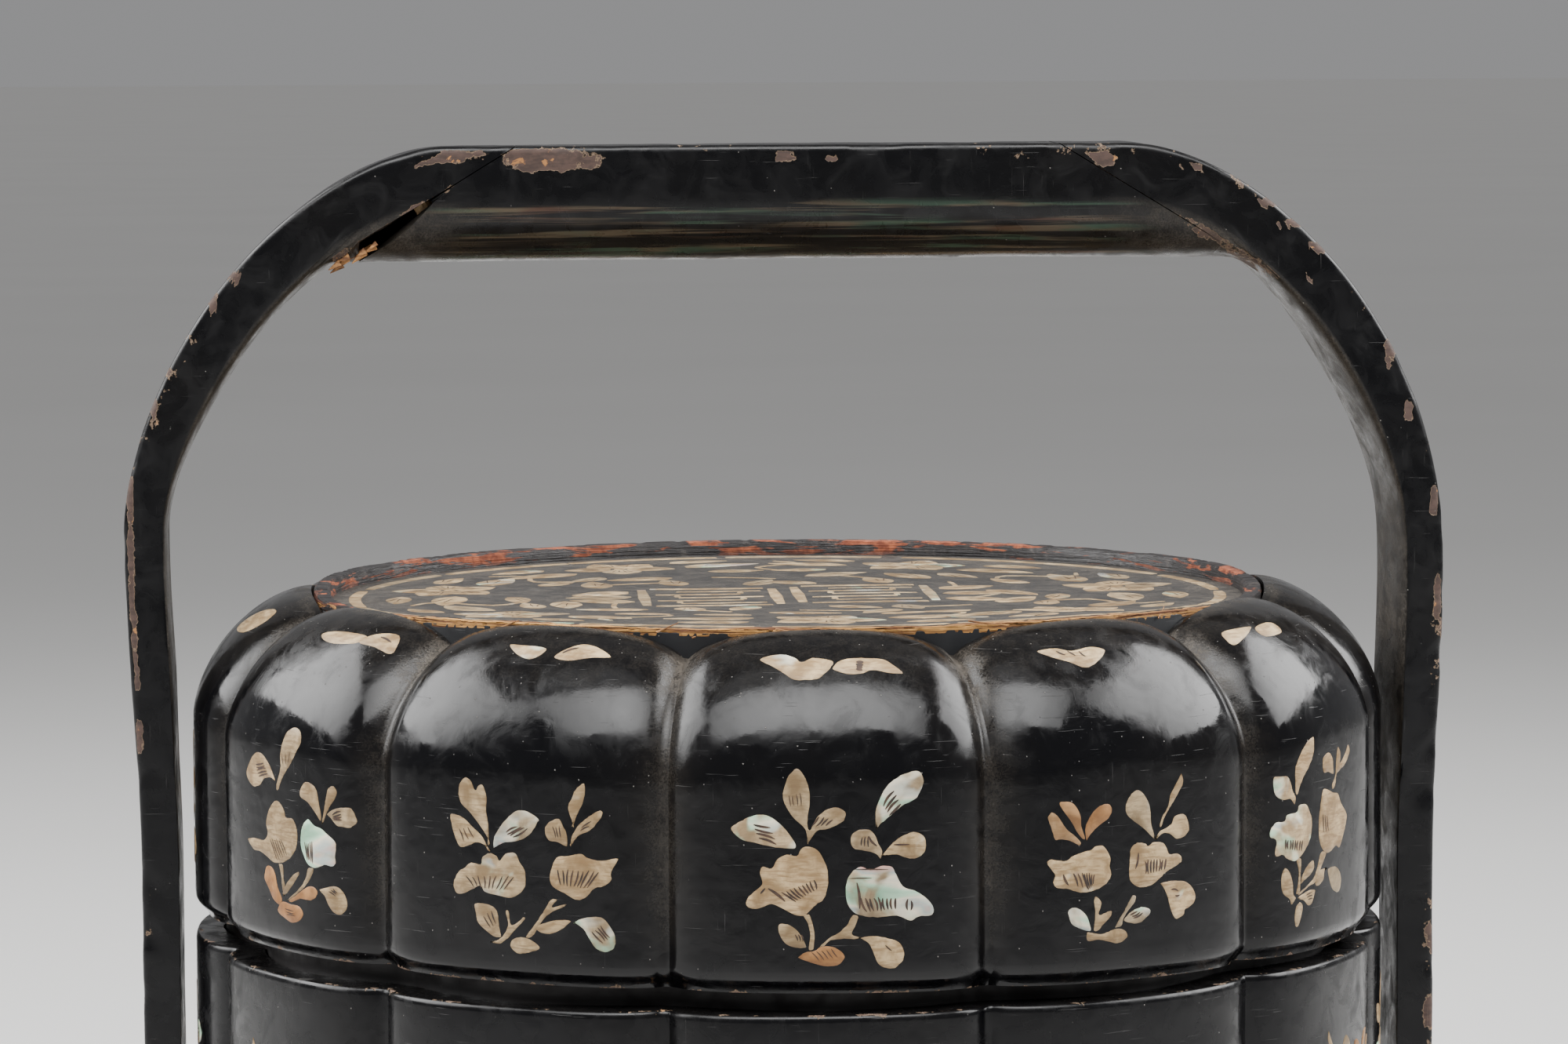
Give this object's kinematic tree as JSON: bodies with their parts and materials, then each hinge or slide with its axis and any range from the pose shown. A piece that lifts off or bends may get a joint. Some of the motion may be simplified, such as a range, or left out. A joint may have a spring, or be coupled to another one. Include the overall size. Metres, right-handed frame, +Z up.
{
  "type": "tiered food basket",
  "caption": "Lobed lacquered food carrier: stacked trays under a domed lid, held on a base with an arched wooden handle.",
  "frame": {"origin": "on the axis of the stack, in the plane that the foot ring stands on", "axes": "+Z up along the stack, +X along the grip from the left upright to the right one, -Y to the front"},
  "size_m": [0.2912, 0.2912, 0.3597],
  "materials": {
    "black_lacquer": "aged black lacquer on wood, satin, with rubbed edges",
    "inner_lacquer": "dark red-brown lacquer on the inside faces, satin",
    "inlaid_field": "dusty grey-black lacquer with pale shell inlay",
    "worn_rim": "lacquered rim worn through to red ground and orange wood",
    "grip_wood": "black lacquer rubbed by hands, brown wood at the edges",
    "peg_wood": "bare bamboo",
    "shell_inlay": "pale mother-of-pearl with a faint green and pink sheen"
  },
  "bodies": {
    "frame": {"base_foot": "black_lacquer", "base_board": "black_lacquer", "base_curb": "black_lacquer", "grip_bar": "grip_wood", "left_upright": "grip_wood", "left_scarf_peg_front": "peg_wood", "left_foot_peg_front": "peg_wood", "left_scarf_peg_back": "peg_wood", "left_foot_peg_back": "peg_wood", "right_upright": "grip_wood", "right_scarf_peg_front": "peg_wood", "right_foot_peg_front": "peg_wood", "right_scarf_peg_back": "peg_wood", "right_foot_peg_back": "peg_wood"},
    "tray_bottom": {"tray_bottom_wall": "black_lacquer", "tray_bottom_floor": "inner_lacquer", "tray_bottom_neck": "inner_lacquer"},
    "tray_middle": {"tray_middle_wall": "black_lacquer", "tray_middle_floor": "inner_lacquer", "tray_middle_neck": "inner_lacquer"},
    "tray_top": {"tray_top_wall": "black_lacquer", "tray_top_floor": "inner_lacquer", "tray_top_neck": "inner_lacquer"},
    "lid": {"lid_shell": "black_lacquer", "lid_seat_ring": "inner_lacquer", "lid_plate": "inlaid_field", "lid_plate_rim": "worn_rim"}
  },
  "joints": [
    {"name": "tray_bottom_lift", "type": "slide", "parent": "frame", "child": "tray_bottom", "axis": [0, 0, 1], "range_m": [0, 0.009]},
    {"name": "tray_middle_lift", "type": "slide", "parent": "tray_bottom", "child": "tray_middle", "axis": [0, 0, 1], "range_m": [0, 0.009]},
    {"name": "tray_top_lift", "type": "slide", "parent": "tray_middle", "child": "tray_top", "axis": [0, 0, 1], "range_m": [0, 0.009]},
    {"name": "lid_lift", "type": "slide", "parent": "tray_top", "child": "lid", "axis": [0, 0, 1], "range_m": [0, 0.018]}
  ]
}
